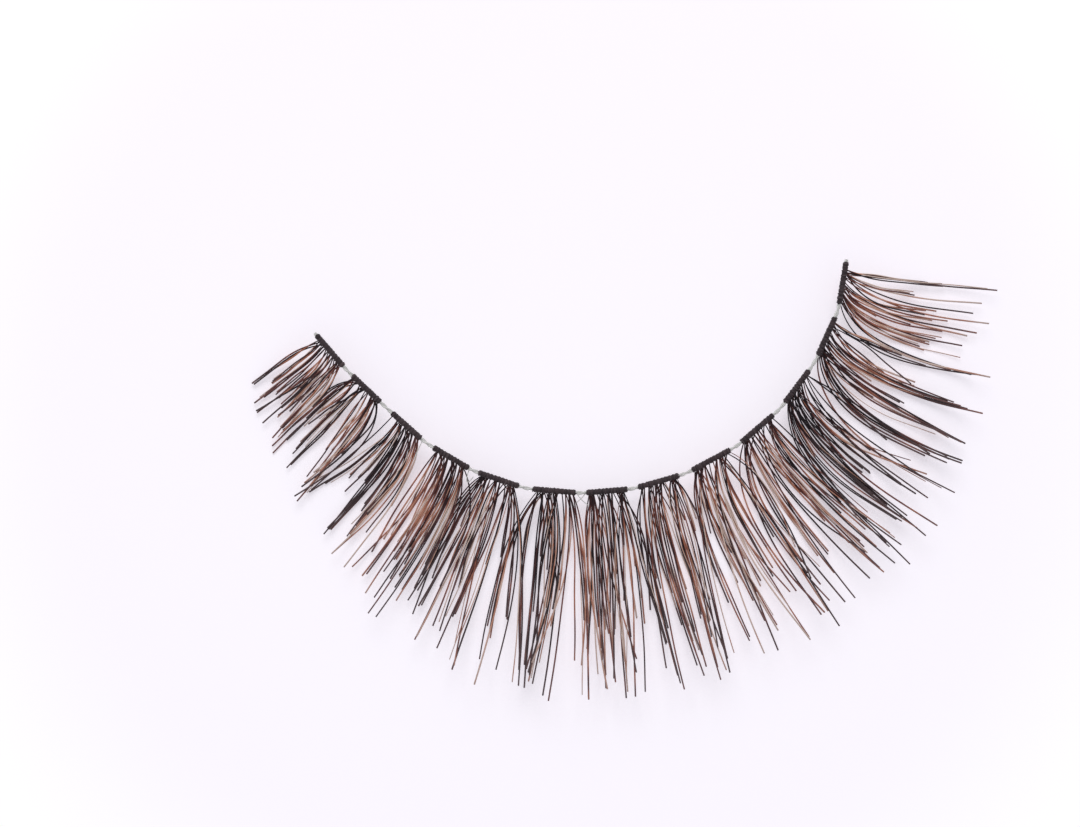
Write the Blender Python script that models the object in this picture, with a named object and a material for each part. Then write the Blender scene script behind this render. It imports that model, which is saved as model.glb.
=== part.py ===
"""A false eyelash strip lying on a table: thirteen tufts of hair, knotted on one clear thread.

The thread follows an eyelid's edge in plan, with its hollow side towards +Y. Each tuft's slip knots sit
side by side round the thread as one dark row, and its hairs leave that row on the outer side. The hairs are
curled: they dip from the raised thread to the table, rest there on their bellies, and rise to their tips.
The hair is modelled in flat, pointed locks. Lengths are in metres, angles in degrees, and +Z is up.
"""

import math
from collections import namedtuple

import bpy
import numpy as np
from mathutils import Matrix, Vector

# The band: a thread, a knot row for each tuft, and a bare gap between each two rows.
BAND_LENGTH = 0.034  # along the thread, from the first knot to the last
GAP_LENGTH = 0.00067  # an even gap
BAND_HEIGHT = 0.00142  # the thread's middle above the table, at the strip's centre
END_RISE = 0.0004  # how much higher the thread lies at either end
THREAD_DIAMETER = 0.0002
THREAD_STUB = 0.00012  # bare thread past the first and the last knot
THREAD_CLEARANCE = 0.00003  # all round, between the thread and the knots
KNOT_WALL = 0.000065  # the knots' thickness round the thread
KNOT_ROUNDING = 0.00003  # at both ends of a knot row

# The hair: each lock is a flat strand with a constant curl.
HAIR_LENGTH = 0.0106  # the longest hair, along its curl
CURL_RADIUS = 0.0085
LOCK_WIDTH = 0.00025
LOCK_THICKNESS = 0.00015
LOCK_TIP = 0.00007  # width and thickness at the very end
CROSSING_LIFT = 0.00035  # a tuft's last lock lies this much higher than its first, over the next tuft

# How the hair's flow is shaped.
EDGE_POWER = 1.6  # above 1, only a tuft's outer locks splay strongly
BEND_POWER = 2.4  # above 1, a lock turns mostly near its root
PATH_STEPS = 24

THREAD_SIDES = 8
LOCK_SIDES = 6
GAP_SEGMENTS = 4

# One row for each tuft, left to right. heading: the knot row's direction. row: its length, as a share of an
# even row. gap: the bare thread after it, as a share of GAP_LENGTH. root and tip: how far the hair leans from
# straight out, towards +X, for the tuft's first, middle and last hairs. reach: the length of each lock, as a
# share of HAIR_LENGTH.
Tuft = namedtuple("Tuft", "heading row gap root_first root_middle root_last tip_first tip_middle tip_last reach")
TUFTS = [
    Tuft(-49.2, 0.99, 0.94, -25, 8, 34, -2, 3, 7, (0.39, 0.33, 0.43, 0.44, 0.45, 0.43, 0.52)),
    Tuft(-43.5, 0.93, 1.14, -38, 14, 50, 5, 4, -13, (0.52, 0.57, 0.54, 0.49, 0.56, 0.59, 0.60)),
    Tuft(-41.6, 0.93, 1.10, -12, 16, 42, -4, -3, 3, (0.58, 0.37, 0.38, 0.66, 0.50, 0.73, 0.72)),
    Tuft(-30.3, 0.99, 0.77, 4, 12, 36, -4, -2, -1, (0.58, 0.71, 0.77, 0.80, 0.82, 0.72, 0.74)),
    Tuft(-18.6, 1.03, 1.01, -22, 4, 24, -2, -6, 4, (0.84, 0.85, 0.89, 0.83, 0.91, 0.91, 0.86)),
    Tuft(-4.9, 1.05, 0.76, -34, 3, 10, -7, -4, -3, (0.90, 0.91, 0.86, 0.93, 0.97, 0.91, 0.78)),
    Tuft(4.8, 1.00, 0.77, -12, 0, 26, -4, -2, 6, (0.98, 0.90, 0.98, 0.89, 0.98, 0.94, 0.97)),
    Tuft(16.1, 1.03, 1.01, -24, -7, 20, 0, 0, -5, (0.84, 0.96, 0.89, 1.00, 0.99, 0.92, 0.95)),
    Tuft(28.1, 1.04, 0.98, -32, -13, 2, -13, -4, 5, (0.98, 0.87, 0.98, 0.89, 0.97, 0.98, 0.97)),
    Tuft(40.6, 1.02, 1.21, -46, -18, -6, -8, 6, 6, (0.88, 0.96, 0.97, 0.88, 0.95, 0.96, 0.83)),
    Tuft(53.1, 0.97, 1.28, -52, -34, -4, 3, 10, 9, (0.96, 0.96, 0.82, 0.60, 0.85, 0.93, 0.84)),
    Tuft(65.8, 1.00, 1.01, -60, -38, -18, 1, -2, 13, (0.60, 0.90, 0.88, 0.55, 0.87, 0.75, 0.79)),
    Tuft(80.7, 1.02, 0.00, -62, -30, -6, 7, -1, 4, (0.88, 0.55, 0.70, 0.81, 0.80, 0.71, 0.75)),
]

# A lock's width and thickness along it: (share of its length, share of its full size above LOCK_TIP).
LOCK_PROFILE = [(0.0, 0.8), (0.15, 1.0), (0.4, 0.95), (0.62, 0.75), (0.82, 0.45), (1.0, 0.0)]

THREAD_RADIUS = THREAD_DIAMETER / 2
BORE_RADIUS = THREAD_RADIUS + THREAD_CLEARANCE
KNOT_RADIUS = BORE_RADIUS + KNOT_WALL

# A knot row in place: its two ends, and its heading in radians.
Row = namedtuple("Row", "start end heading")


def on_parabola(x, y, along):
    """A point of the thread, which rises from the strip's centre to both ends as a parabola."""
    share = 2 * along / BAND_LENGTH - 1
    return Vector((x, y, BAND_HEIGHT + END_RISE * share**2))


def lay_out_band():
    """The knot rows, straight, and the thread's points: the rows' ends with a smooth bend in each gap."""
    bare = sum(GAP_LENGTH * tuft.gap for tuft in TUFTS)
    even_row = (BAND_LENGTH - bare) / sum(tuft.row for tuft in TUFTS)
    rows, points = [], []
    x = y = along = 0.0
    for number, tuft in enumerate(TUFTS):
        heading = math.radians(tuft.heading)
        start = on_parabola(x, y, along)
        length = even_row * tuft.row
        x += length * math.cos(heading)
        y += length * math.sin(heading)
        along += length
        end = on_parabola(x, y, along)
        rows.append(Row(start, end, heading))
        points += [start, end]
        if number + 1 == len(TUFTS):
            break
        turn = math.radians(TUFTS[number + 1].heading) - heading
        step = GAP_LENGTH * tuft.gap / GAP_SEGMENTS
        for segment in range(GAP_SEGMENTS):
            middle = heading + turn * (segment + 0.5) / GAP_SEGMENTS
            x += step * math.cos(middle)
            y += step * math.sin(middle)
            along += step
            if segment + 1 < GAP_SEGMENTS:
                points.append(on_parabola(x, y, along))
    return rows, points


def ring(centre, side, up, half_width, half_height, count):
    """A polygon of count corners round centre, with flats across side and up at the given distances."""
    reach = 1 / math.cos(math.pi / count)
    corners = []
    for corner in range(count):
        angle = 2 * math.pi * (corner + 0.5) / count
        corners.append(centre + reach * (side * half_width * math.cos(angle) + up * half_height * math.sin(angle)))
    return corners


def frame_along(direction):
    """The horizontal side vector and the up vector that are square to a direction."""
    side = Vector((direction.y, -direction.x, 0)).normalized()
    return side, side.cross(direction).normalized()


def add_tube(vertices, faces, rings):
    """Appends the closed tube through the rings, with a flat face at both ends."""
    first, count = len(vertices), len(rings[0])
    for points in rings:
        vertices += [tuple(point) for point in points]
    for station in range(len(rings) - 1):
        low = first + station * count
        for corner in range(count):
            after = (corner + 1) % count
            faces.append((low + corner, low + count + corner, low + count + after, low + after))
    last = first + (len(rings) - 1) * count
    faces.append(tuple(range(first, first + count)))
    faces.append(tuple(range(last + count - 1, last - 1, -1)))


def make_object(name, tubes):
    """One object holding a closed tube for each list of rings."""
    vertices, faces = [], []
    for rings in tubes:
        add_tube(vertices, faces, rings)
    mesh = bpy.data.meshes.new(name)
    mesh.from_pydata(vertices, [], faces)
    made = bpy.data.objects.new(name, mesh)
    bpy.context.collection.objects.link(made)
    return made


def make_guide(name, tubes):
    """An object that only shapes another one."""
    guide = make_object(name, tubes)
    guide.hide_render = True
    guide.display_type = "WIRE"
    return guide


def straight_tube(start, end, stations):
    """Octagon rings from start to end: stations holds (distance along, radius) pairs."""
    direction = (end - start).normalized()
    side, up = frame_along(direction)
    return [ring(start + direction * along, side, up, radius, radius, THREAD_SIDES) for along, radius in stations]


def lean_of(first, middle, last, across):
    """A lean for a hair at this share of the way across its tuft."""
    outer = first if across < 0.5 else last
    return math.radians(middle + (outer - middle) * abs(2 * across - 1) ** EDGE_POWER)


def lock_rings(tuft, row, across, reach):
    """The sections of one lock.

    Seen from above, its direction eases from its root lean to its tip lean. Seen from the side it is an arc of
    CURL_RADIUS, steep enough at the root for its belly to come down to the table, or to lie over the next tuft.
    """
    direction = (row.end - row.start).normalized()
    room = (row.end - row.start).length - LOCK_WIDTH
    # The first lock leaves the knots low and the last one high, so that neighbouring tufts cross clear.
    sideways = (across - 0.5) * 2
    root = row.start + direction * (LOCK_WIDTH / 2 + room * across)
    root = root + Vector((0, 0, sideways * (KNOT_RADIUS - LOCK_THICKNESS / 2)))
    belly = LOCK_THICKNESS / 2 + CROSSING_LIFT * across
    steepest = math.acos(1 - (root.z - belly) / CURL_RADIUS)
    outward = row.heading - math.pi / 2
    root_lean = lean_of(tuft.root_first, tuft.root_middle, tuft.root_last, across)
    tip_lean = lean_of(tuft.tip_first, tuft.tip_middle, tuft.tip_last, across)
    length = HAIR_LENGTH * reach

    share = (np.arange(PATH_STEPS) + 0.5) / PATH_STEPS
    turned = outward + tip_lean + (root_lean - tip_lean) * (1 - share) ** BEND_POWER
    pitch = share * length / CURL_RADIUS - steepest
    steps = np.stack([np.cos(turned) * np.cos(pitch), np.sin(turned) * np.cos(pitch), np.sin(pitch)], axis=1)
    path = np.vstack([np.zeros(3), np.cumsum(steps, axis=0) * length / PATH_STEPS])

    rings = []
    for along, size in LOCK_PROFILE:
        place = along * PATH_STEPS
        point = [float(np.interp(place, range(PATH_STEPS + 1), path[:, axis])) for axis in range(3)]
        forward = steps[min(int(place), PATH_STEPS - 1)]
        side, up = frame_along(Vector(forward))
        half_width = (LOCK_TIP + (LOCK_WIDTH - LOCK_TIP) * size) / 2
        half_height = (LOCK_TIP + (LOCK_THICKNESS - LOCK_TIP) * size) / 2
        rings.append(ring(root + Vector(point), side, up, half_width, half_height, LOCK_SIDES))
    return rings


def make_tuft(name, tuft, row):
    """A knot row with its locks fused to it and the thread's bore cut through it."""
    length = (row.end - row.start).length
    knot_stations = [
        (0.0, KNOT_RADIUS - KNOT_ROUNDING),
        (KNOT_ROUNDING, KNOT_RADIUS),
        (length - KNOT_ROUNDING, KNOT_RADIUS),
        (length, KNOT_RADIUS - KNOT_ROUNDING),
    ]
    made = make_object(name, [straight_tube(row.start, row.end, knot_stations)])
    last = len(tuft.reach) - 1
    locks = [lock_rings(tuft, row, number / last, reach) for number, reach in enumerate(tuft.reach)]
    # The bore runs on past both ends, where an outer lock leans over the bare thread.
    bore_stations = [(-LOCK_WIDTH, BORE_RADIUS), (length + LOCK_WIDTH, BORE_RADIUS)]
    bore = straight_tube(row.start, row.end, bore_stations)
    for guide, operation in (
        (make_guide(f"{name}_locks", locks), "UNION"),
        (make_guide(f"{name}_bore", [bore]), "DIFFERENCE"),
    ):
        boolean = made.modifiers.new(operation.lower(), "BOOLEAN")
        boolean.operation = operation
        boolean.object = guide
        boolean.solver = "EXACT"
        boolean.use_self = operation == "UNION"
    return made


def make_thread(points):
    """The clear thread, with a short stub past the knots at both ends."""
    start = points[0] + (points[0] - points[1]).normalized() * THREAD_STUB
    end = points[-1] + (points[-1] - points[-2]).normalized() * THREAD_STUB
    path = [start, *points, end]
    rings = []
    for number, point in enumerate(path):
        before = path[max(number - 1, 0)]
        after = path[min(number + 1, len(path) - 1)]
        side, up = frame_along((after - before).normalized())
        rings.append(ring(point, side, up, THREAD_RADIUS, THREAD_RADIUS, THREAD_SIDES))
    return make_object("band_thread", [rings])


def make_material(name, colour, roughness, alpha=1.0):
    material = bpy.data.materials.new(name)
    material.use_nodes = True
    shader = material.node_tree.nodes["Principled BSDF"]
    shader.inputs["Base Color"].default_value = (*colour, 1.0)
    shader.inputs["Roughness"].default_value = roughness
    shader.inputs["Metallic"].default_value = 0.0
    shader.inputs["Alpha"].default_value = alpha
    return material


def set_down(objects):
    """Moves everything so that the strip's box is centred on the origin and stands on z = 0."""
    bpy.context.view_layer.update()
    shown = bpy.context.evaluated_depsgraph_get()
    corners = []
    for made in objects:
        solid = made.evaluated_get(shown)
        corners += [solid.matrix_world @ vertex.co for vertex in solid.data.vertices]
    corners = np.array(corners)
    low, high = corners.min(axis=0), corners.max(axis=0)
    move = Matrix.Translation((-(low[0] + high[0]) / 2, -(low[1] + high[1]) / 2, -low[2]))
    for placed in bpy.context.scene.objects:
        placed.matrix_world = move @ placed.matrix_world


def build():
    for old in list(bpy.data.objects):
        bpy.data.objects.remove(old)
    rows, points = lay_out_band()
    hair = make_material("knotted_hair", (0.035, 0.022, 0.018), 0.45)
    clear = make_material("clear_thread", (0.85, 0.85, 0.87), 0.2, alpha=0.6)
    thread = make_thread(points)
    thread.data.materials.append(clear)
    pieces = [thread]
    for number, (tuft, row) in enumerate(zip(TUFTS, rows), start=1):
        made = make_tuft(f"tuft_{number:02d}", tuft, row)
        made.data.materials.append(hair)
        pieces.append(made)
    set_down(pieces)


build()
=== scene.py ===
"""One false eyelash strip: thirteen tufts of hair, knotted by hand on a clear twisted thread.

It lies on a pale table on the bellies of its curled hairs, and is seen from straight above. Lengths are in
metres, angles in degrees, +Z is up and the band's hollow side faces +Y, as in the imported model.
"""

import math
from collections import namedtuple

import bpy
import numpy as np
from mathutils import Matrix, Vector


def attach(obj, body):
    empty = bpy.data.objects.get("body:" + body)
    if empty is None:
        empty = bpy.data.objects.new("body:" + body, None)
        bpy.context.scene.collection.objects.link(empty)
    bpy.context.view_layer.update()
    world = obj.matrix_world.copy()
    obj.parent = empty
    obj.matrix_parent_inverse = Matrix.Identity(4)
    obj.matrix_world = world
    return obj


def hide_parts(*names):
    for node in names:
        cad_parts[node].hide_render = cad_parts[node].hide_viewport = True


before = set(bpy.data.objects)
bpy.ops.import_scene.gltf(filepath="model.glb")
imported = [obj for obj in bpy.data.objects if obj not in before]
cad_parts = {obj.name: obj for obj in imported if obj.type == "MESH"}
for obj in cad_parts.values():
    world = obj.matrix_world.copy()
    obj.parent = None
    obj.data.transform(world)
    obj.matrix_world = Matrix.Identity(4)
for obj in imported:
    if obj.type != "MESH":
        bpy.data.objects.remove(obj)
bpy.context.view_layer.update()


# The camera hangs straight above the table, far off and with a long lens, so the strip looks flat, as in the
# photograph. It is aimed at the middle of the picture, which is not the middle of the strip.
PICTURE_WIDTH = 0.05223  # what the picture is wide, at HAIR_LEVEL over the table
PICTURE_MIDDLE = (-0.004219, 0.003061)
HAIR_LEVEL = 0.0008
LENS = 200.0
NEAREST_SEEN = 0.01
FARTHEST_SEEN = 20.0

overhead = bpy.data.cameras.new("overhead_camera")
overhead.lens = LENS
overhead.clip_start = NEAREST_SEEN
overhead.clip_end = FARTHEST_SEEN
camera = bpy.data.objects.new("overhead_camera", overhead)
camera.location = (*PICTURE_MIDDLE, HAIR_LEVEL + PICTURE_WIDTH * LENS / overhead.sensor_width)
bpy.context.collection.objects.link(camera)
bpy.context.scene.camera = camera
bpy.context.scene.view_settings.view_transform = "Standard"


# The light is a large soft lamp behind the strip's hollow side, high up, in a white room: the raised band's
# faint shadow falls a millimetre towards its hair.
LAMP_PLACE = (-0.02, 0.34, 0.45)
LAMP_SIDE = 0.32
LAMP_POWER = 1.1
LAMP_COLOUR = (1.0, 0.985, 0.97)
ROOM_STRENGTH = 0.42
ROOM_COLOUR = (0.97, 0.97, 1.0, 1.0)

room = bpy.data.worlds.new("white_room")
room.use_nodes = True
walls = room.node_tree.nodes["Background"]
walls.inputs["Color"].default_value = ROOM_COLOUR
walls.inputs["Strength"].default_value = ROOM_STRENGTH
bpy.context.scene.world = room
softbox = bpy.data.lights.new("softbox", "AREA")
softbox.shape = "SQUARE"
softbox.size = LAMP_SIDE
softbox.energy = LAMP_POWER
softbox.color = LAMP_COLOUR
lamp = bpy.data.objects.new("softbox", softbox)
lamp.location = LAMP_PLACE
lamp.rotation_euler = (-Vector(LAMP_PLACE)).to_track_quat("-Z", "Y").to_euler()
bpy.context.collection.objects.link(lamp)


# The table is a plain satin white board, with a faint lilac cast that clears away from the picture's middle,
# and a grain too fine to see. Its weak glow stands for the light that a bright room throws back on it, which
# keeps the strip's shadows faint.
TABLE_SIDE = 3.0
TABLE_SQUARES = 12
CAST_INNER = 0.022
CAST_OUTER = 0.034
LILAC_BOARD = (0.892, 0.863, 0.925, 1.0)
WHITE_BOARD = (0.93, 0.93, 0.925, 1.0)
LILAC_GLOW = (0.958, 0.920, 0.992, 1.0)
WHITE_GLOW = (1.0, 1.0, 1.0, 1.0)
GLOW = 0.41
BOARD_GRAIN = 2500.0
BOARD_RELIEF = 0.00002


class Wire:
    """An output socket of a material. Sums on it add Math nodes, and node() adds any other node."""

    def __init__(self, tree, socket=None):
        self.tree = tree
        self.socket = socket

    def node(self, kind, settings, sockets, out):
        """Adds a node: its own settings, then its sockets' values or links. Gives its output named out."""
        made = self.tree.nodes.new(kind)
        for name, value in settings.items():
            if name == "stops":
                while len(made.color_ramp.elements) < len(value):
                    made.color_ramp.elements.new(1.0)
                for stop, (place, colour) in zip(made.color_ramp.elements, value):
                    stop.position = place
                    stop.color = (*colour, 1.0)
            else:
                setattr(made, name, value)
        inputs = {socket.identifier: socket for socket in made.inputs}
        for name, value in sockets.items():
            if isinstance(value, Wire):
                self.tree.links.new(value.socket, inputs[name])
            else:
                inputs[name].default_value = value
        outputs = {socket.identifier: socket for socket in made.outputs}
        return Wire(self.tree, outputs[out])

    def math(self, operation, *values):
        """One Math node on numbers or wires."""
        sockets = dict(zip(("Value", "Value_001", "Value_002"), values))
        return self.node("ShaderNodeMath", {"operation": operation}, sockets, "Value")

    def __add__(self, other):
        return self.math("ADD", self, other)

    def __sub__(self, other):
        return self.math("SUBTRACT", self, other)

    def __rsub__(self, other):
        return self.math("SUBTRACT", other, self)

    def __mul__(self, other):
        return self.math("MULTIPLY", self, other)

    def __pow__(self, other):
        return self.math("POWER", self, other)

    __radd__ = __add__
    __rmul__ = __mul__

    def between(self, first, second):
        """Mixes two colours, with this number as the share of the second."""
        sockets = {"Factor_Float": self, "A_Color": first, "B_Color": second}
        return self.node("ShaderNodeMix", {"data_type": "RGBA"}, sockets, "Result_Color")

    def noise(self, place, scale, detail):
        """Soft noise from 0 to 1 at a place, with scale waves to a metre."""
        sockets = {"Vector": place, "Scale": scale, "Detail": detail}
        return self.node("ShaderNodeTexNoise", {}, sockets, "Fac")

    def bumps(self, height, strength, distance):
        """A surface direction roughened by a height from 0 to 1, worth distance metres."""
        sockets = {"Height": height, "Strength": strength, "Distance": distance}
        return self.node("ShaderNodeBump", {}, sockets, "Normal")

    def into(self, shader, name):
        """Links this output to a socket of the material's shader."""
        self.tree.links.new(self.socket, shader.inputs[name])


def new_material(name):
    """A new material, its shader, and a first wire to build on."""
    material = bpy.data.materials.new(name)
    material.use_nodes = True
    return material, material.node_tree.nodes["Principled BSDF"], Wire(material.node_tree)


def paint_table():
    """Lilac within CAST_INNER of the picture's middle, easing to white at CAST_OUTER, over a fine grain."""
    material, shader, start = new_material("white_board")
    place = start.node("ShaderNodeTexCoord", {}, {}, "Object")
    middle = {"Location": (-PICTURE_MIDDLE[0], -PICTURE_MIDDLE[1], 0.0)}
    centred = start.node("ShaderNodeMapping", {}, {"Vector": place, **middle}, "Vector")
    away = start.node("ShaderNodeVectorMath", {"operation": "LENGTH"}, {"Vector": centred}, "Value")
    limits = {"Value": away, "From Min": CAST_INNER, "From Max": CAST_OUTER}
    clear = start.node("ShaderNodeMapRange", {"interpolation_type": "SMOOTHSTEP"}, limits, "Result")
    grain = start.noise(place, BOARD_GRAIN, 3.0)
    clear.between(LILAC_BOARD, WHITE_BOARD).into(shader, "Base Color")
    (0.55 + 0.1 * grain).into(shader, "Roughness")
    start.bumps(grain, 0.05, BOARD_RELIEF).into(shader, "Normal")
    shader.inputs["Specular IOR Level"].default_value = 0.2
    clear.between(LILAC_GLOW, WHITE_GLOW).into(shader, "Emission Color")
    shader.inputs["Emission Strength"].default_value = GLOW
    return material


def new_piece(name, vertices, quads, triangles, material):
    """A smooth object at the origin from arrays of vertices and faces."""
    mesh = bpy.data.meshes.new(name)
    mesh.from_pydata(vertices.tolist(), [], quads.tolist() + triangles.tolist())
    mesh.shade_smooth()
    mesh.materials.append(material)
    piece = bpy.data.objects.new(name, mesh)
    bpy.context.collection.objects.link(piece)
    return piece


def sheet_of_squares(side, squares):
    """A flat square grid at z = 0: x and y run evenly from -side / 2 to side / 2."""
    line = np.linspace(-side / 2, side / 2, squares + 1)
    x, y = np.meshgrid(line, line, indexing="ij")
    vertices = np.stack([x, y, np.zeros_like(x)], axis=-1).reshape(-1, 3)
    corner = (np.arange(squares)[:, None] * (squares + 1) + np.arange(squares)).ravel()
    across = corner + squares + 1
    return vertices, np.stack([corner, across, across + 1, corner + 1], axis=1)


board_vertices, board_quads = sheet_of_squares(TABLE_SIDE, TABLE_SQUARES)
table_top = new_piece("table_top", board_vertices, board_quads, np.empty((0, 3), int), paint_table())


# The band is a clear nylon thread of two plies twisted together, glassy and slightly milky. It follows the
# eyelid's edge through all the knots, and shows bare in the twelve gaps and at both ends.
BAND_LENGTH = 0.034  # along the thread, from the first knot to the last
GAP_LENGTH = 0.00067  # an even gap
BAND_HEIGHT = 0.00142  # the thread's middle above the table, at the strip's centre
END_RISE = 0.0004  # how much higher the thread lies at either end
THREAD_RADIUS = 0.0001
THREAD_STUB = 0.00012  # bare thread past the first and the last knot
STRIP_PLACE = (-0.01499142, 0.00683956, -0.00000495)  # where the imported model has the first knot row's start
BAND_SAMPLES = 20001  # for adding up the thread's course
PLY_RADIUS = 0.000054
TWIST_LENGTH = 0.00085
TWIST_STATIONS = 620
PLY_SIDES = 10
END_BULGE = 0.6  # a strand's end point stands out by this share of its radius
MILKY = (0.86, 0.86, 0.84, 1.0)
CLEAR = (1.0, 1.0, 0.98, 1.0)
GLASSINESS = 0.3
CLOUDS = 1800.0
SCUFFS = 14000.0
SCUFF_RELIEF = 0.000006

# Left to right for the thirteen tufts: the direction of each knot row, its length as a share of an even row,
# and the bare thread after it as a share of GAP_LENGTH.
HEADINGS = (-49.2, -43.5, -41.6, -30.3, -18.6, -4.9, 4.8, 16.1, 28.1, 40.6, 53.1, 65.8, 80.7)
ROW_SHARES = (0.99, 0.93, 0.93, 0.99, 1.03, 1.05, 1.00, 1.03, 1.04, 1.02, 0.97, 1.00, 1.02)
GAP_SHARES = (0.94, 1.14, 1.10, 0.77, 1.01, 0.76, 0.77, 1.01, 0.98, 1.21, 1.28, 1.01, 0.00)

row_lengths = np.array(ROW_SHARES) * (BAND_LENGTH - GAP_LENGTH * sum(GAP_SHARES)) / sum(ROW_SHARES)
row_ends = np.cumsum(row_lengths) + GAP_LENGTH * (np.cumsum(GAP_SHARES) - GAP_SHARES)
row_starts = row_ends - row_lengths


def along_band(distance):
    """Points of the thread's middle at distances from its first knot, and the thread's heading there.

    The heading stays the same along a knot row and turns evenly over a gap. Its cosine and sine, summed up
    along the thread, give the plan. The height is a parabola, lowest at the strip's centre.
    """
    fine = np.linspace(-THREAD_STUB, BAND_LENGTH + THREAD_STUB, BAND_SAMPLES)
    turns = np.stack([row_starts, row_ends], axis=1).ravel()
    heading = np.interp(fine, turns, np.radians(np.repeat(HEADINGS, 2)))
    step = fine[1] - fine[0]
    plan = []
    for part in (np.cos(heading), np.sin(heading)):
        total = np.concatenate([[0.0], np.cumsum((part[1:] + part[:-1]) / 2 * step)])
        plan.append(np.interp(distance, fine, total - np.interp(0.0, fine, total)))
    height = BAND_HEIGHT + END_RISE * (2 * distance / BAND_LENGTH - 1) ** 2
    points = np.stack([plan[0], plan[1], height], axis=-1) + STRIP_PLACE
    return points, np.interp(distance, fine, heading)


def square_to(paths):
    """For paths (strands, stations, 3): the level vector and the upright vector square to each station."""
    forward = np.gradient(paths, axis=1)
    side = np.stack([forward[..., 1], -forward[..., 0], np.zeros(forward.shape[:2])], axis=-1)
    side /= np.linalg.norm(side, axis=-1, keepdims=True)
    up = np.cross(side, forward)
    return side, up / np.linalg.norm(up, axis=-1, keepdims=True)


def strands(paths, side, up, radii, sides, ring=False):
    """Round strands as one mesh.

    Point (station, angle) of a strand is its path there plus its radius times side * cos + up * sin of the
    angle. A ring strand joins its last station to its first, and any other has a point at both ends.
    """
    count, stations = radii.shape
    angle = np.arange(sides) * 2 * math.pi / sides
    spokes = side[:, :, None] * np.cos(angle)[:, None] + up[:, :, None] * np.sin(angle)[:, None]
    skin = paths[:, :, None] + radii[:, :, None, None] * spokes
    place = np.arange(count * stations * sides).reshape(count, stations, sides)
    after = np.roll(place, -1, axis=2)
    following, following_after = np.roll(place, -1, axis=1), np.roll(after, -1, axis=1)
    spans = stations if ring else stations - 1
    quads = np.stack([place, following, following_after, after], axis=-1)[:, :spans].reshape(-1, 4)
    vertices = skin.reshape(-1, 3)
    if ring:
        return vertices, quads, np.empty((0, 3), int)
    ends = []
    for last, inner in ((0, 1), (-1, -2)):
        forward = paths[:, last] - paths[:, inner]
        forward /= np.linalg.norm(forward, axis=-1, keepdims=True)
        ends.append(paths[:, last] + forward * radii[:, last, None] * END_BULGE)
    pole = len(vertices) + np.arange(2 * count).reshape(2, count, 1) + np.zeros((1, 1, sides), int)
    first_fan = np.stack([pole[0], place[:, 0], after[:, 0]], axis=-1).reshape(-1, 3)
    last_fan = np.stack([pole[1], after[:, -1], place[:, -1]], axis=-1).reshape(-1, 3)
    return np.vstack([vertices, *ends]), quads, np.vstack([first_fan, last_fan])


def lay_thread():
    """Two plies of PLY_RADIUS, half a turn apart on a helix of TWIST_LENGTH round the thread's middle."""
    distance = np.linspace(-THREAD_STUB, BAND_LENGTH + THREAD_STUB, TWIST_STATIONS)
    middle, _ = along_band(distance)
    side, up = square_to(middle[None])
    turn = 2 * math.pi * distance / TWIST_LENGTH + np.array([[0.0], [math.pi]])
    away = side * np.cos(turn)[..., None] + up * np.sin(turn)[..., None]
    plies = middle + (THREAD_RADIUS - PLY_RADIUS) * away
    radii = np.full(turn.shape, PLY_RADIUS)
    return strands(plies, np.repeat(side, 2, axis=0), np.repeat(up, 2, axis=0), radii, PLY_SIDES)


def paint_thread():
    """Clear nylon: glassy and a little milky, with faint cloudy patches along it."""
    material, shader, start = new_material("clear_thread")
    place = start.node("ShaderNodeTexCoord", {}, {}, "Object")
    cloud = start.noise(place, CLOUDS, 3.0)
    scuffs = start.noise(place, SCUFFS, 2.0)
    cloud.between(MILKY, CLEAR).into(shader, "Base Color")
    (0.12 + 0.22 * scuffs).into(shader, "Roughness")
    start.bumps(scuffs, 0.15, SCUFF_RELIEF).into(shader, "Normal")
    shader.inputs["IOR"].default_value = 1.5
    shader.inputs["Transmission Weight"].default_value = GLASSINESS
    return material


clear_thread = paint_thread()
thread = new_piece("twisted_thread", *lay_thread(), clear_thread)
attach(thread, "root")
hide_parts("band_thread")


# Fine ends of the same clear nylon stick out below the thread in three gaps. Two cross each other, and one
# turns back towards the thread as a small loop.
FIBRE_RADIUS = 0.000022
FIBRE_STEPS = 16
FIBRE_SIDES = 8
FIBRE_DROP = 0.35  # how far it sinks for each step outwards

# For each fibre: the gap it is in, where it starts and ends as shares of the gap, and how far it stands out
# from the thread at its middle and at its end, in millimetres.
FIBRES = (
    (6, 0.05, 1.15, 0.36, 0.66),
    (6, 0.95, -0.15, 0.34, 0.60),
    (4, 0.10, 0.70, 0.62, 0.30),
    (3, 0.15, 0.45, 0.45, 0.95),
)


def lay_fibres():
    """Arcs from the thread outwards: the distance out is a parabola through 0, its middle and its end."""
    gap, first, last, middle_out, end_out = np.array(FIBRES).T[:, :, None]
    share = np.linspace(0, 1, FIBRE_STEPS)
    after = gap[:, 0].astype(int)
    bare = (row_starts[after] - row_ends[after - 1])[:, None]
    thread_place = row_ends[after - 1][:, None] + bare * (first + (last - first) * share)
    points, heading = along_band(thread_place.ravel())
    out = (4 * middle_out - end_out) * share + (2 * end_out - 4 * middle_out) * share**2
    direction = np.stack([np.sin(heading), -np.cos(heading), np.full_like(heading, -FIBRE_DROP)], axis=-1)
    paths = (points + direction * (out / 1000).reshape(-1, 1)).reshape(len(FIBRES), FIBRE_STEPS, 3)
    side, up = square_to(paths)
    return strands(paths, side, up, np.full(paths.shape[:2], FIBRE_RADIUS), FIBRE_SIDES)


fibres = new_piece("stray_fibres", *lay_fibres(), clear_thread)
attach(fibres, "root")


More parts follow.
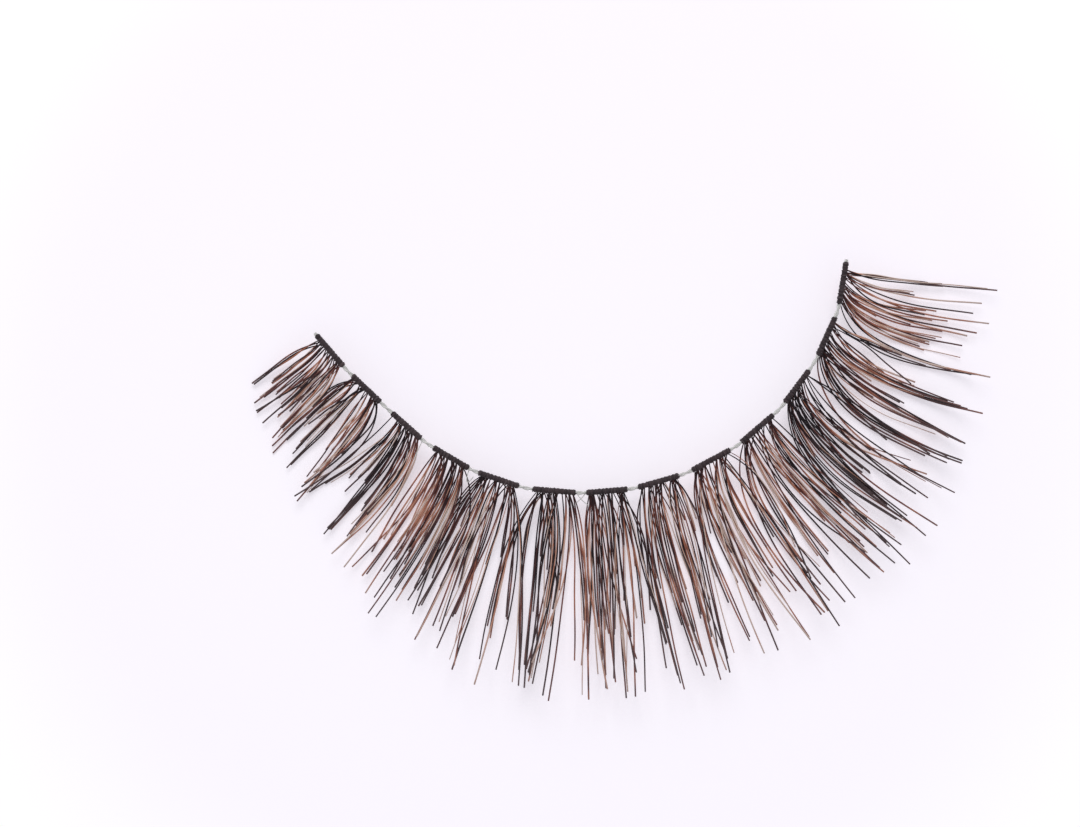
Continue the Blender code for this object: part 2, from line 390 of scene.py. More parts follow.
# Each tuft is a row of slip knots, pulled tight side by side round the thread, of fine dark human hair. The
# hairs leave the row in small bunches, cross each other, and curl down to the table and up again.
THREAD_CLEARANCE = 0.00003
KNOT_WALL = 0.000065
KNOT_RADIUS = THREAD_RADIUS + THREAD_CLEARANCE + KNOT_WALL
HAIR_LENGTH = 0.0106  # the longest hair of an even tuft, along its curl
CURL_RADIUS = 0.0085
CURL_POWER = 1.5  # above 0, hairs past HAIR_LENGTH curl less
ROOT_INSET = 0.000125  # the outermost hairs' distance from the row's ends
ROOT_RISE = 0.6  # how far up the knots the last hairs leave, and how far down the first, as a share
CROSSING_LIFT = 0.00035  # a tuft's last hairs lie this much higher than its first, over the next tuft
BEND_POWER = 2.4  # above 1, a hair turns mostly near its root
HAIR_RADIUS = 0.0000368
HAIR_TAPER = ((0.0, 0.12, 0.35, 0.85, 1.0), (0.74, 0.82, 1.0, 1.1, 1.05))  # places along, and sizes there
HAIR_STEPS = 26
HAIR_SIDES = 7
LAYERS = 0.00014  # the hairs of a tuft lie over each other within this height
SWAY = 0.00003
WAVES = (0.8, 1.7)
THICKNESSES = (0.9, 1.15)
TONE_SPREAD = 0.3

# Finer and paler hairs between them, each near one of the listed hairs.
FINE_HAIRS = 9
FINE_STRAY = (0.03, 3.0, 2.0, 0.0)  # how far it strays from that hair, in the units of the four lists
FINE_REACHES = (0.75, 1.0)
FINE_THICKNESSES = (0.55, 0.75)
FINE_PALENESS = (0.5, 1.0)

# The knots: loops round the thread, over a plain core.
LOOPS = 33
LOOP_STATIONS = 20
LOOP_SIDES = 6
LOOP_REACH = 0.00015  # from the thread's middle to the outside of the loops
LOOP_THICKNESS = 0.000036
LOOP_THICKNESSES = (0.85, 1.15)
LOOP_INSET = 1.1  # the outermost loops' distance from the row's ends, in loop thicknesses
LOOP_PINCH = 0.12  # how much closer the three loops of a knot are, as a share of their pitch
LOOP_SHIFT = 0.000005
LOOP_SWELLS = (0.96, 1.06, 0.96)
LOOP_SWELL_SPREAD = 0.04
LOOP_TILT = 6.0
LOOP_TONE = 0.3
LOOP_TONE_SPREAD = 0.3
CORE_RADIUS = 0.000116
CORE_ENDS = ((0.0, 0.02, 0.05), (0.8, 0.95, 1.0))  # shares of the row from an end, and sizes there
CORE_STATIONS = 40
CORE_SIDES = 12
CORE_TONE = 0.05

# Every row has one hair for each place in its four lists: where it leaves the knots, as a share of the row,
# how far it leans from straight out at its root and at its tip, towards +X, and its length as a share of
# HAIR_LENGTH.
Hairs = namedtuple("Hairs", "across root tip reach")
HAIRS = [
    Hairs(
        across=(0.09, 0.09, 0.18, 0.18, 0.18, 0.29, 0.29, 0.29, 0.29, 0.36, 0.36, 0.36, 0.47, 0.47, 0.47,
                0.57, 0.57, 0.57, 0.57, 0.67, 0.67, 0.67, 0.67, 0.78, 0.78, 0.88, 0.88, 0.88, 0.88, 0.97,
                0.97),
        root=(-13, 15, -32, -3, 6, -39, 2, 5, 8, 6, 10, 39, 8, 12, 29, 9, 14, 16, 28, 13, 14, 32, 56, 44,
              58, -4, 11, 16, 48, 4, 28),
        tip=(-7.6, -5.8, -2.9, -3.7, -4.9, -2.2, -3.8, -4.6, -4.2, -1.4, -1.6, -5.7, -3.5, -1.8, 4.2,
             2.2, 0.6, -11.1, 5.3, -2.1, -0.3, -4.3, 4, -0.3, -0.6, 7.5, 5.1, 5.7, 7.3, 7, 0.6),
        reach=(0.29, 0.33, 0.41, 0.32, 0.33, 0.41, 0.38, 0.45, 0.40, 0.34, 0.35, 0.31, 0.47, 0.35, 0.42,
               0.36, 0.48, 0.47, 0.30, 0.24, 0.37, 0.41, 0.29, 0.45, 0.42, 0.35, 0.28, 0.43, 0.27, 0.49,
               0.45),
    ),
    Hairs(
        across=(0.01, 0.01, 0.01, 0.01, 0.14, 0.14, 0.27, 0.27, 0.40, 0.40, 0.40, 0.40, 0.50, 0.50, 0.50,
                0.60, 0.60, 0.60, 0.60, 0.73, 0.73, 0.73, 0.73, 0.86, 0.86, 0.86, 0.86, 0.92, 0.92, 0.92),
        root=(-19, -12, -8, 24, -49, -2, -48, 15, -19, -14, -1, 5, -29, -19, 14, -110, -1, 20, 21, 23,
              27, 38, 80, 2, 7, 12, 40, 27, 31, 51),
        tip=(-2.7, -1.2, -2.9, -13.8, -1.6, 1.9, -1.5, -2.5, 1.1, -3.5, -0.2, -1.9, -10.5, -0.4, 7, -4.3,
             9.7, 6.2, 3, 1.6, 1.7, -5.5, -7.6, -1.5, 8.9, 4.2, -10, -6.7, -3.9, -15),
        reach=(0.52, 0.54, 0.45, 0.27, 0.39, 0.24, 0.33, 0.52, 0.45, 0.31, 0.54, 0.36, 0.34, 0.48, 0.51,
               0.32, 0.36, 0.47, 0.28, 0.34, 0.58, 0.48, 0.36, 0.34, 0.30, 0.62, 0.57, 0.54, 0.46, 0.64),
    ),
    Hairs(
        across=(0.00, 0.18, 0.18, 0.18, 0.26, 0.26, 0.34, 0.34, 0.34, 0.47, 0.47, 0.47, 0.47, 0.47, 0.47,
                0.58, 0.58, 0.68, 0.68, 0.68, 0.77, 0.77, 0.88, 0.88, 0.88, 0.98, 0.98, 0.98),
        root=(-3, 10, 15, 22, 3, 32, 13, 17, 31, 10, 19, 22, 24, 43, 65, 21, 31, 17, 27, 47, 24, 29, 33,
              41, 55, 27, 34, 37),
        tip=(-7.7, -16.5, -15.4, -7.9, -1.9, 2.2, -1.5, -4.3, 2.4, 2.4, 0.2, -2.7, -1.2, 2.4, 4.9, -3.4,
             4.5, 7.3, 3.4, 1.4, 5.1, 4.9, -1.8, -6.8, 9.7, -3.6, 3.1, 3.4),
        reach=(0.54, 0.56, 0.48, 0.37, 0.38, 0.35, 0.35, 0.44, 0.36, 0.65, 0.50, 0.62, 0.62, 0.44, 0.41,
               0.62, 0.60, 0.46, 0.46, 0.47, 0.53, 0.48, 0.58, 0.70, 0.38, 0.70, 0.72, 0.53),
    ),
    Hairs(
        across=(0.08, 0.08, 0.08, 0.08, 0.08, 0.21, 0.21, 0.21, 0.21, 0.31, 0.31, 0.31, 0.42, 0.42, 0.42,
                0.42, 0.51, 0.60, 0.60, 0.60, 0.60, 0.71, 0.71, 0.71, 0.81, 0.81, 0.81, 0.81, 0.90, 0.90,
                0.90, 0.90, 0.90),
        root=(-12, -1, 0, 18, 52, 3, 8, 25, 28, 3, 9, 23, 3, 11, 15, 20, 34, 7, 12, 22, 32, 4, 12, 22,
              17, 24, 42, 65, 3, 17, 19, 23, 29),
        tip=(0.7, 6.7, -1.6, -15.5, -1.7, 8.6, -6.9, -3.9, -1.2, -5.4, 3.7, 4.4, -2.6, -0.9, -4.7, -4.5,
             -4.5, 0.1, -4.5, -2.5, 1.1, 2.5, 4.7, -3.4, -4.9, 5.8, -0.4, 3.7, -4.6, -1, -2.1, 2.9, 2.4),
        reach=(0.58, 0.33, 0.50, 0.70, 0.65, 0.44, 0.70, 0.53, 0.56, 0.68, 0.28, 0.50, 0.76, 0.50, 0.63,
               0.56, 0.62, 0.64, 0.76, 0.47, 0.43, 0.55, 0.46, 0.67, 0.84, 0.31, 0.65, 0.62, 0.84, 0.66,
               0.72, 0.63, 0.56),
    ),
    Hairs(
        across=(0.10, 0.10, 0.10, 0.10, 0.10, 0.10, 0.10, 0.20, 0.20, 0.20, 0.20, 0.29, 0.29, 0.29, 0.46,
                0.46, 0.46, 0.46, 0.46, 0.46, 0.55, 0.55, 0.69, 0.69, 0.82, 0.82, 0.82, 0.82, 0.82, 0.82,
                0.91, 0.91, 0.91),
        root=(-45, -34, -25, -17, -9, 0, 19, -40, -30, -5, 1, -37, -3, 1, -28, -15, -8, 1, 10, 75, 7, 11,
              -22, 18, -29, 0, 5, 16, 25, 38, 13, 24, 32),
        tip=(-3.7, -7.3, -2.1, -6.9, -14.2, -11.2, -5.6, -4.6, -2.1, -10, -2.6, -3.6, -8, -9.4, -2.2,
             4.7, 1.7, 7.5, -2.1, -0.8, -5.8, -5.3, 1.6, 0.4, -1.7, -5.8, -0.2, 9.8, 1.6, 4.5, 6.4, 12.8,
             15.1),
        reach=(0.47, 0.52, 0.75, 0.43, 0.70, 0.70, 0.49, 0.52, 0.56, 0.69, 0.76, 0.29, 0.86, 0.84, 0.52,
               0.55, 0.51, 0.92, 0.56, 0.49, 0.86, 0.69, 0.78, 0.41, 0.58, 0.67, 0.94, 0.36, 1.00, 0.91,
               0.68, 0.64, 0.98),
    ),
    Hairs(
        across=(0.10, 0.10, 0.10, 0.10, 0.21, 0.21, 0.21, 0.21, 0.21, 0.21, 0.29, 0.29, 0.38, 0.38, 0.38,
                0.38, 0.46, 0.46, 0.46, 0.46, 0.53, 0.61, 0.61, 0.70, 0.79, 0.79, 0.79, 0.88, 0.88, 0.88,
                0.88, 0.98, 0.98),
        root=(-37, -18, -13, 25, -42, -40, -4, -1, 2, 30, -48, 20, -62, -10, -6, 15, -19, 14, 15, 21, 15,
              -19, -11, 14, 8, 12, 25, 8, 14, 21, 26, 17, 26),
        tip=(-5.2, 5.3, 3.3, -1.1, -5.4, -4.7, 0.9, -0.3, -0.5, -1, 1.2, -10.2, -2.1, -0.6, 15.6, -8.2,
             2.7, -7.3, -3.1, -12.6, -4.4, 3, -1.2, -4.8, -1, -6.5, -18.8, -4.4, 4, 8.2, 8.7, 6.1, 0.5),
        reach=(0.87, 0.84, 0.87, 0.33, 0.73, 0.76, 0.96, 0.85, 0.58, 0.39, 0.65, 0.87, 0.33, 0.84, 0.45,
               0.93, 0.35, 0.94, 0.56, 0.89, 1.00, 0.72, 0.89, 0.56, 0.47, 0.64, 0.85, 1.02, 0.80, 0.61,
               0.63, 1.01, 0.83),
    ),
    Hairs(
        across=(0.02, 0.02, 0.02, 0.02, 0.12, 0.12, 0.12, 0.12, 0.12, 0.12, 0.12, 0.21, 0.31, 0.31, 0.40,
                0.40, 0.40, 0.40, 0.40, 0.54, 0.54, 0.54, 0.64, 0.64, 0.73, 0.73, 0.83, 0.83, 0.83, 0.94,
                0.94, 0.94, 0.94),
        root=(-17, -5, 8, 22, -26, -17, -10, -4, -2, 4, 8, 17, -8, 12, -23, -12, -7, 7, 36, -6, 7, 9, -1,
              24, 24, 48, 4, 9, 26, -14, -10, 8, 19),
        tip=(0.1, -1, -2.9, -0.7, -4, 6.1, 0.5, -7.6, -1.9, 1, 0.1, -8.1, -1.1, -4.7, 5.6, 13.9, -4.4,
             -5.1, -5.8, 3.9, -6.2, 2, -0.9, -3.7, 1.3, -2.6, 2.9, -4.3, 0.2, 5, -0.8, 12, 8.6),
        reach=(0.49, 0.87, 0.88, 0.99, 0.32, 0.96, 0.64, 0.77, 0.74, 0.92, 0.80, 0.66, 0.95, 0.58, 0.68,
               0.82, 0.80, 0.90, 0.54, 0.40, 0.68, 0.70, 1.01, 1.00, 0.65, 0.61, 0.61, 1.01, 0.38, 0.88,
               0.27, 0.76, 0.98),
    ),
    Hairs(
        across=(0.05, 0.05, 0.11, 0.11, 0.11, 0.23, 0.23, 0.23, 0.23, 0.34, 0.34, 0.34, 0.44, 0.44, 0.44,
                0.44, 0.58, 0.58, 0.58, 0.58, 0.58, 0.58, 0.58, 0.85, 0.85, 0.85, 0.85, 0.85, 0.85, 0.85,
                0.85, 0.95, 0.95),
        root=(-27, -13, -40, -19, -17, -17, -13, -8, 8, -32, -12, 24, -21, -17, -4, 3, -37, -26, -18,
              -15, 9, 26, 89, -25, -9, -6, -5, 7, 11, 35, 45, -10, 9),
        tip=(0.8, -6.8, -0.7, -1.7, -5.2, 2.8, -0.2, 1.6, -1.4, -3.6, 2.4, -3.6, -3.2, 3.9, -0.7, 4.8,
             -0.7, 1.5, 3.3, 1.7, -2.9, 10.5, 2.5, 4, -2.2, -0.9, 1, -5.3, -3.9, -1.7, 4.1, 4.3, -6.4),
        reach=(0.76, 0.88, 0.55, 0.69, 0.45, 0.69, 0.53, 0.90, 0.92, 0.51, 0.83, 0.67, 1.02, 0.97, 0.73,
               0.97, 0.96, 0.59, 0.86, 0.53, 0.94, 0.23, 0.28, 0.49, 0.68, 1.01, 0.70, 0.78, 0.99, 0.29,
               0.30, 0.91, 0.84),
    ),
    Hairs(
        across=(0.02, 0.02, 0.02, 0.11, 0.11, 0.11, 0.11, 0.11, 0.21, 0.21, 0.21, 0.21, 0.30, 0.30, 0.30,
                0.30, 0.30, 0.30, 0.44, 0.54, 0.67, 0.67, 0.67, 0.67, 0.67, 0.76, 0.76, 0.76, 0.84, 0.84,
                0.92, 0.92, 1.00),
        root=(-28, -25, 5, -45, -38, -26, -18, 5, -37, -33, -30, -22, -44, -22, -21, -20, -5, -2, -20,
              -11, -35, -33, -25, 23, 41, -20, -12, 13, -19, 12, -31, 38, -45),
        tip=(-3.4, -4, 1.5, -7.5, -6.3, 1.5, 2.9, -2.3, -12.9, -15.3, -3.1, -1.1, 2.1, 3, 1.8, 2.7, -7.3,
             5.1, 13.2, -4.6, -6, -3, 9, 1.6, 0.9, 2.1, 6.8, 4.1, 4, 3.4, 4.6, -6.3, 3.4),
        reach=(0.87, 0.85, 0.62, 0.54, 0.67, 0.60, 0.66, 0.64, 0.34, 0.94, 0.59, 0.69, 0.46, 0.88, 0.50,
               0.85, 0.97, 0.98, 0.74, 0.49, 0.99, 0.82, 1.01, 0.47, 0.29, 0.63, 0.74, 0.91, 0.49, 1.01,
               0.60, 0.74, 0.54),
    ),
    Hairs(
        across=(0.07, 0.07, 0.07, 0.07, 0.16, 0.16, 0.16, 0.16, 0.16, 0.16, 0.25, 0.25, 0.25, 0.34, 0.34,
                0.42, 0.42, 0.50, 0.50, 0.50, 0.50, 0.62, 0.75, 0.75, 0.88, 0.88, 0.88, 0.88, 0.88, 0.88,
                0.98, 0.98, 0.98),
        root=(-61, -45, -30, -30, -52, -44, -23, -21, -18, -15, -57, -14, -7, -8, -4, -6, -4, -67, -28,
              -5, -2, -22, -47, -15, -32, -19, -17, -10, -4, 3, -46, -32, 12),
        tip=(2.3, -5.8, -8.9, -0.6, 1.3, -2.4, -4.7, -2.9, -1.4, -1.4, -2.7, 4.5, 10.3, 1.4, 5.2, 5.2,
             5.3, -4.6, -3.5, 2, 7.4, 8.2, 14.9, 5.8, 2.8, 8.9, 8.2, 12.7, 8.9, 4, 13.7, 10.4, -3.9),
        reach=(0.97, 0.94, 0.48, 0.93, 0.91, 0.80, 0.66, 0.77, 0.68, 0.67, 0.74, 0.90, 0.73, 0.55, 0.89,
               0.79, 0.76, 0.70, 0.95, 0.58, 0.80, 0.93, 0.82, 0.57, 0.71, 0.93, 0.70, 0.88, 0.41, 0.98,
               0.51, 0.41, 0.62),
    ),
    Hairs(
        across=(0.10, 0.10, 0.10, 0.10, 0.10, 0.10, 0.10, 0.10, 0.22, 0.22, 0.22, 0.22, 0.22, 0.35, 0.35,
                0.35, 0.47, 0.47, 0.47, 0.47, 0.60, 0.60, 0.60, 0.70, 0.70, 0.70, 0.80, 0.80, 0.80, 0.92,
                0.92, 0.92, 0.92),
        root=(-59, -51, -48, -40, -37, -27, -22, -19, -66, -58, -54, -40, -23, -46, -38, -30, -79, -33,
              -25, -13, -64, -49, -36, -88, -48, -44, -50, -32, -31, -34, -22, 7, 9),
        tip=(-2.8, -7.7, -7.3, 4.2, 1.3, -6.2, -5.8, -3.9, -13.2, 4.8, 4.7, -1.9, -3.1, -3.1, -8.9, -1.6,
             -21.1, -3.9, 3.4, 9.9, 0.7, 5.3, 3.4, -5.6, -1.7, 4.1, 18.3, -1.5, -1.5, 2, 2.6, -4.8, 2.8),
        reach=(0.87, 0.70, 0.88, 0.90, 0.80, 0.58, 0.70, 0.94, 0.59, 0.82, 0.84, 0.70, 0.50, 0.64, 0.38,
               0.54, 0.37, 0.55, 0.77, 0.92, 0.55, 0.47, 0.70, 0.50, 0.84, 0.99, 0.79, 0.69, 0.48, 0.84,
               0.72, 0.50, 0.70),
    ),
    Hairs(
        across=(0.04, 0.04, 0.04, 0.04, 0.13, 0.13, 0.13, 0.22, 0.22, 0.22, 0.22, 0.22, 0.32, 0.32, 0.32,
                0.32, 0.42, 0.42, 0.51, 0.51, 0.51, 0.62, 0.62, 0.62, 0.71, 0.79, 0.79, 0.79, 0.92, 0.92,
                0.92, 0.92, 0.92),
        root=(-69, -55, -34, -21, -87, -65, -21, -65, -62, -56, -32, -29, -71, -61, -36, -28, -40, -29,
              -63, -44, -36, -39, -33, -31, -46, -39, -23, 4, -51, -42, -16, -13, -8),
        tip=(-1.6, 0.1, -2.5, -7.3, -16.9, 0.4, -4.3, 3.4, 3.3, -6.9, -1.9, -4.9, -12.1, -1.7, -2.7,
             -9.1, -4.7, 8.8, 2.3, 6.8, -3.6, 10.6, 5.1, -0.5, 5.1, 3, -13.2, -16.5, 7.7, 3.9, 5.7, 3.8,
             1.6),
        reach=(0.75, 0.84, 0.59, 0.48, 0.63, 0.86, 0.83, 0.93, 0.92, 0.37, 0.82, 0.47, 0.55, 0.84, 0.77,
               0.31, 0.50, 0.77, 0.74, 0.57, 0.39, 0.86, 0.67, 0.51, 0.60, 0.50, 0.35, 0.48, 0.76, 0.71,
               0.50, 0.38, 0.33),
    ),
    Hairs(
        across=(0.06, 0.06, 0.21, 0.21, 0.21, 0.30, 0.30, 0.30, 0.30, 0.30, 0.30, 0.30, 0.40, 0.40, 0.50,
                0.50, 0.58, 0.58, 0.67, 0.67, 0.77, 0.77, 0.77, 0.77, 0.77, 0.87, 0.87, 1.00),
        root=(-75, -56, -64, -52, -44, -76, -68, -64, -60, -55, -52, -26, -50, -30, -47, -37, -67, -44,
              -37, -17, -39, -32, -27, 1, 6, -119, -14, -79),
        tip=(2, -6.5, -2.5, -7.4, -1.8, -7.7, -10.1, -11, -7.1, -7.2, -3.9, -4.1, -0.6, 3.2, 0.2, -0.7,
             -6.6, 0.8, -0.3, 4.8, 1.7, 1.7, 0.2, 3.9, 2.3, -18.6, 5.5, -1.1),
        reach=(0.81, 0.75, 0.86, 0.49, 0.65, 0.69, 0.52, 0.49, 0.52, 0.51, 0.53, 0.65, 0.55, 0.44, 0.49,
               0.70, 0.42, 0.56, 0.49, 0.68, 0.75, 0.66, 0.37, 0.74, 0.42, 0.32, 0.49, 0.49),
    ),
]

# The hair's tone from a tuft's first hair to its last, in five even steps, and its colour for a tone: black,
# maroon, auburn, orange brown, tan and a pale taupe. Tips are duller, and knots lightened to charcoal grey as
# painted sheen.
TONES = [
    (0.20, 0.35, 0.50, 0.35, 0.40),
    (0.15, 0.15, 0.25, 0.55, 0.40),
    (0.35, 0.25, 0.05, 0.35, 0.85),
    (0.85, 0.60, 0.15, 0.10, 0.45),
    (0.20, 0.45, 0.50, 0.15, 0.50),
    (0.10, 0.20, 0.25, 0.50, 0.70),
    (0.75, 0.70, 0.10, 0.45, 0.25),
    (0.25, 0.35, 0.55, 0.40, 0.10),
    (0.10, 0.35, 0.70, 0.60, 0.05),
    (0.25, 0.50, 0.55, 0.10, 0.15),
    (0.10, 0.05, 0.05, 0.10, 0.20),
    (0.30, 0.50, 0.20, 0.40, 0.15),
    (0.00, 0.70, 0.90, 0.55, 0.05),
]
HAIR_COLOURS = (
    (0.0, (0.018, 0.012, 0.016)),
    (0.3, (0.064, 0.023, 0.025)),
    (0.5, (0.220, 0.073, 0.062)),
    (0.65, (0.500, 0.190, 0.115)),
    (0.8, (0.700, 0.370, 0.265)),
    (1.0, (0.850, 0.670, 0.590)),
)
TIP_BROWN = (0.230, 0.165, 0.170, 1.0)
TIP_SHARE = 0.45
# Painted sheen: the charcoal grey that the knots' near black hair is mixed towards, in place of the light it
# reflects.
PAINTED_KNOT_SHEEN = (0.100, 0.080, 0.088, 1.0)
ROOT_WARMTH = 0.35
WARM_FROM = 0.02
WARM_TO = 0.28
PATCHES = 480.0
PATCH_CHANGE = 1.2
STREAKS = 2600.0
STREAK_CHANGE = 0.3
HAIR_SCALES = 30000.0
SCALE_RELIEF = 0.000004


def drawn(chance, limits, size):
    """Even random numbers between two limits."""
    lowest, highest = limits
    return lowest + (highest - lowest) * chance.random(size)


def with_fine_hairs(hairs, chance):
    """A tuft's hairs as rows of across, root, tip and reach, and each one's thickness and change of tone.

    To the listed hairs it adds FINE_HAIRS thinner, paler and shorter ones, each close to a listed one.
    """
    listed = np.array(hairs).T
    fine = listed[chance.integers(0, len(listed), FINE_HAIRS)]
    fine = fine + FINE_STRAY * chance.standard_normal(fine.shape)
    fine[:, 0] = np.clip(fine[:, 0], 0, 1)
    fine[:, 3] *= drawn(chance, FINE_REACHES, FINE_HAIRS)
    thickness = [drawn(chance, THICKNESSES, len(listed)), drawn(chance, FINE_THICKNESSES, FINE_HAIRS)]
    paler = [TONE_SPREAD * chance.standard_normal(len(listed)), drawn(chance, FINE_PALENESS, FINE_HAIRS)]
    return np.vstack([listed, fine]), np.concatenate(thickness), np.concatenate(paler)


def hair_paths(number, hairs, chance):
    """The middle lines of a tuft's hairs, as (hairs, stations, 3).

    Seen from above, a hair turns from its root lean to its tip lean as (1 - share) ** BEND_POWER shrinks.
    Seen from the side it is an arc of CURL_RADIUS, wider for the very longest, and steep enough at the root
    for its belly to come down to its own layer over the table. A slow sideways wave is laid over it, a sine
    that fades to nothing at the root and the tip.
    """
    across, root_lean, tip_lean, reach = hairs.T[:, :, None]
    room = row_lengths[number] - 2 * ROOT_INSET
    root, heading = along_band(row_starts[number] + ROOT_INSET + room * across[:, 0])
    root[:, 2] += (2 * across[:, 0] - 1) * (KNOT_RADIUS - HAIR_RADIUS) * ROOT_RISE
    belly = HAIR_RADIUS + CROSSING_LIFT * across + LAYERS * chance.random(across.shape)
    curl = CURL_RADIUS * np.maximum(reach, 1.0) ** CURL_POWER
    steepest = np.arccos(1 - (root[:, 2:] - belly) / curl)
    length = HAIR_LENGTH * reach
    share = (np.arange(HAIR_STEPS) + 0.5) / HAIR_STEPS
    lean = tip_lean + (root_lean - tip_lean) * (1 - share) ** BEND_POWER
    turned = heading[:, None] - math.pi / 2 + np.radians(lean)
    pitch = share * length / curl - steepest
    steps = np.stack([np.cos(turned) * np.cos(pitch), np.sin(turned) * np.cos(pitch), np.sin(pitch)], axis=-1)
    run = np.cumsum(steps * (length / HAIR_STEPS)[..., None], axis=1)
    paths = root[:, None] + np.concatenate([np.zeros((len(root), 1, 3)), run], axis=1)
    station = np.linspace(0, 1, HAIR_STEPS + 1)
    waves, late = drawn(chance, WAVES, across.shape), chance.random(across.shape)
    wave = SWAY * np.sin(math.pi * station) * np.sin(2 * math.pi * (waves * station + late))
    side, _ = square_to(paths)
    return paths + side * wave[..., None]


def knot_loops(number, chance):
    """The loops of a knot row, as paths, spokes, axes and radii.

    They are circles round the thread, three to a knot, of which the middle one is the widest. Each is
    tilted a little: its points shift along the thread by a sine of their angle.
    """
    place = np.arange(LOOPS)
    inset = LOOP_THICKNESS * LOOP_INSET
    distance = np.linspace(row_starts[number] + inset, row_ends[number] - inset, LOOPS)
    pitch = distance[1] - distance[0]
    distance = distance + chance.normal(0, LOOP_SHIFT, LOOPS) - LOOP_PINCH * pitch * (place % 3 - 1)
    middle, heading = along_band(distance)
    axis = np.stack([np.cos(heading), np.sin(heading), np.zeros(LOOPS)], axis=-1)[:, None]
    level = np.stack([-np.sin(heading), np.cos(heading), np.zeros(LOOPS)], axis=-1)[:, None]
    turn = np.arange(LOOP_STATIONS) * 2 * math.pi / LOOP_STATIONS
    spoke = level * np.cos(turn)[:, None] + np.array([0.0, 0.0, 1.0]) * np.sin(turn)[:, None]
    swell = np.array(LOOP_SWELLS)[place % 3, None] + LOOP_SWELL_SPREAD * chance.standard_normal((LOOPS, 1))
    size = (LOOP_REACH - LOOP_THICKNESS) * swell
    tilt = math.tan(math.radians(LOOP_TILT)) * chance.standard_normal((LOOPS, 1))
    lean = size * tilt * np.sin(turn + 2 * math.pi * chance.random((LOOPS, 1)))
    paths = middle[:, None] + spoke * size[..., None] + axis * lean[..., None]
    radii = np.full((LOOPS, LOOP_STATIONS), LOOP_THICKNESS) * drawn(chance, LOOP_THICKNESSES, (LOOPS, 1))
    return paths, spoke, np.repeat(axis, LOOP_STATIONS, axis=1), radii


def knot_core(number):
    """The tight hair under a row's loops: one round strand over the thread, narrower at both ends."""
    along = np.linspace(0, 1, CORE_STATIONS)
    core, _ = along_band(row_starts[number] + row_lengths[number] * along)
    side, up = square_to(core[None])
    round_off = np.interp(np.minimum(along, 1 - along), *CORE_ENDS)
    return core[None], side, up, CORE_RADIUS * round_off[None]


def join(skins):
    """Several (vertices, quads, triangles) as one: each one's faces count on from the vertices before it."""
    starts = np.cumsum([0] + [len(skin[0]) for skin in skins])
    quads = np.vstack([skin[1] + start for skin, start in zip(skins, starts)])
    triangles = np.vstack([skin[2] + start for skin, start in zip(skins, starts)])
    return np.vstack([skin[0] for skin in skins]), quads, triangles


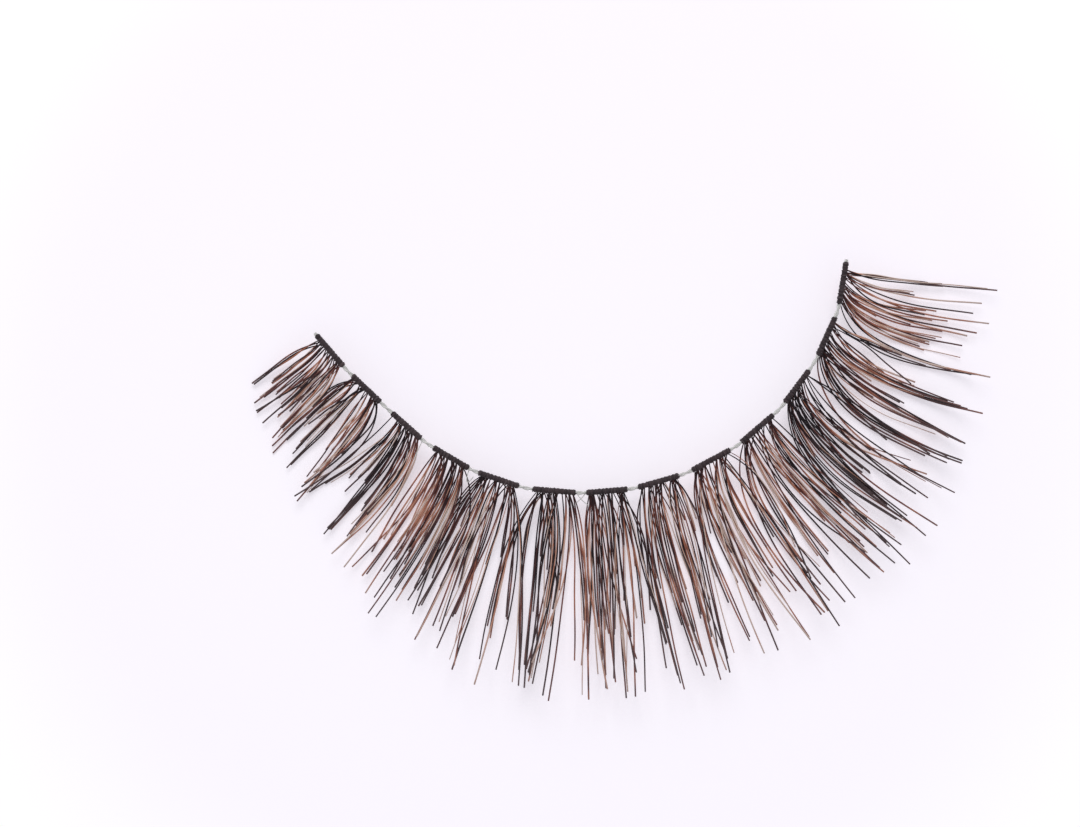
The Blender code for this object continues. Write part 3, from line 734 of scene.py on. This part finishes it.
def paint_hair():
    """Satin hair, near black at its root; in the knots it is lightened to charcoal grey, a painted sheen.

    Further out its colour follows its tone, changed by patches that neighbouring hairs share and by fine
    streaks. Its last part is a duller brown, as the third power of the share of its length.
    """
    material, shader, start = new_material("knotted_hair")
    place = start.node("ShaderNodeTexCoord", {}, {}, "Object")
    tone = start.node("ShaderNodeAttribute", {"attribute_name": "tone"}, {}, "Fac")
    along = start.node("ShaderNodeAttribute", {"attribute_name": "along"}, {}, "Fac")
    knotted = start.node("ShaderNodeAttribute", {"attribute_name": "knotted"}, {}, "Fac")
    patches = start.noise(place, PATCHES, 1.0)
    streaks = start.noise(place, STREAKS, 3.0)
    scales = start.noise(place, HAIR_SCALES, 2.0)
    limits = {"Value": along, "From Min": WARM_FROM, "From Max": WARM_TO}
    warm = start.node("ShaderNodeMapRange", {"interpolation_type": "SMOOTHSTEP"}, limits, "Result")
    warmth = ROOT_WARMTH + (1 - ROOT_WARMTH) * warm
    shade = warmth * (tone + PATCH_CHANGE * (patches - 0.5)) + STREAK_CHANGE * (streaks - 0.5)
    colour = start.node("ShaderNodeValToRGB", {"stops": HAIR_COLOURS}, {"Fac": shade}, "Color")
    dulled = (TIP_SHARE * along**3).between(colour, TIP_BROWN)
    # Painted sheen: the knots' near black hair is mixed towards charcoal grey, which stands in for the light
    # it reflects.
    knot_sheen_share = knotted * (0.1 + 0.6 * tone + 0.5 * streaks)
    knot_sheen_share.between(dulled, PAINTED_KNOT_SHEEN).into(shader, "Base Color")
    (0.38 + 0.22 * streaks).into(shader, "Roughness")
    start.bumps(scales, 0.2, SCALE_RELIEF).into(shader, "Normal")
    shader.inputs["Specular IOR Level"].default_value = 0.25
    return material


def add_attribute(piece, name, values):
    """One number for each vertex of a piece, which its material reads by name."""
    piece.data.attributes.new(name, "FLOAT", "POINT").data.foreach_set("value", values.astype(np.float32))


knotted_hair = paint_hair()
station = np.linspace(0, 1, HAIR_STEPS + 1)
taper = np.interp(station, *HAIR_TAPER)
for number, listed in enumerate(HAIRS):
    chance = np.random.default_rng(number + 1)
    hairs, thickness, paler = with_fine_hairs(listed, chance)
    paths = hair_paths(number, hairs, chance)
    side, up = square_to(paths)
    hair_skin = strands(paths, side, up, HAIR_RADIUS * thickness[:, None] * taper, HAIR_SIDES)
    loop_skin = strands(*knot_loops(number, chance), LOOP_SIDES, ring=True)
    core_skin = strands(*knot_core(number), CORE_SIDES)
    name = f"tuft_{number + 1:02d}"
    tuft = new_piece(f"hair_{name}", *join([hair_skin, loop_skin, core_skin]), knotted_hair)
    tones = TONES[number]
    hair_tone = np.clip(np.interp(hairs[:, 0], np.linspace(0, 1, len(tones)), tones) + paler, 0, 1)
    loop_tone = np.clip(LOOP_TONE + LOOP_TONE_SPREAD * chance.standard_normal(LOOPS), 0, 1)
    on_hairs = np.concatenate([np.repeat(hair_tone, HAIR_SIDES * len(station)), np.tile(hair_tone, 2)])
    on_loops = np.repeat(loop_tone, LOOP_SIDES * LOOP_STATIONS)
    on_core = np.full(len(core_skin[0]), CORE_TONE)
    add_attribute(tuft, "tone", np.concatenate([on_hairs, on_loops, on_core]))
    along = np.zeros(len(tuft.data.vertices))
    skin_share = np.tile(np.repeat(station, HAIR_SIDES), len(paths))
    along[: len(skin_share)] = skin_share
    along[len(on_hairs) - len(paths) : len(on_hairs)] = 1.0
    add_attribute(tuft, "along", along)
    add_attribute(tuft, "knotted", np.arange(len(along)) >= len(on_hairs))
    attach(tuft, "root")
    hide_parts(name)
